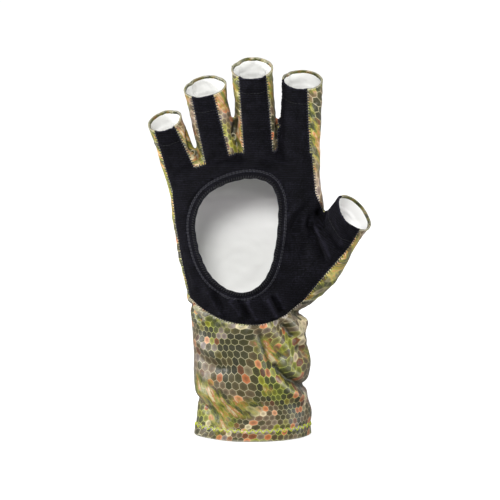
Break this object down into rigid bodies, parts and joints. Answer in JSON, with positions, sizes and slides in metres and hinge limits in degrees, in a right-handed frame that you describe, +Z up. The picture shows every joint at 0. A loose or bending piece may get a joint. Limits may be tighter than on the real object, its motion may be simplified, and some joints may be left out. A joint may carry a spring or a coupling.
{
  "type": "fingerless fishing glove",
  "caption": "Right-hand fingerless sun and fishing glove with a long cuff, black knit palm with a large open palm window, and printed stretch back, in its worn form.",
  "frame": {"origin": "middle of the cuff opening", "axes": "+Z up along the hand towards the finger ends, the palm faces -Y, the thumb points to +X"},
  "size_m": [0.1365, 0.0467, 0.2345],
  "materials": {
    "cuff": "smooth stretch knit printed with a net of scales in olive, lime, brown, mauve, salmon and cream",
    "hem": "the same printed knit, turned, with a lime cover stitch",
    "palm": "near-black fine ribbed knit with a faint blue cast",
    "binding": "near-black turned edge",
    "back": "smooth stretch knit printed with a net of scales, off-white on the inside",
    "fourchettes": "the same printed knit"
  },
  "bodies": {
    "root": {"cuff": "cuff", "cuff_hem": "hem", "palm_panel": "palm", "palm_opening_binding": "binding", "back_panel": "back", "fourchette_little_ring": "fourchettes", "fourchette_ring_middle": "fourchettes", "fourchette_middle_index": "fourchettes"}
  },
  "joints": []
}
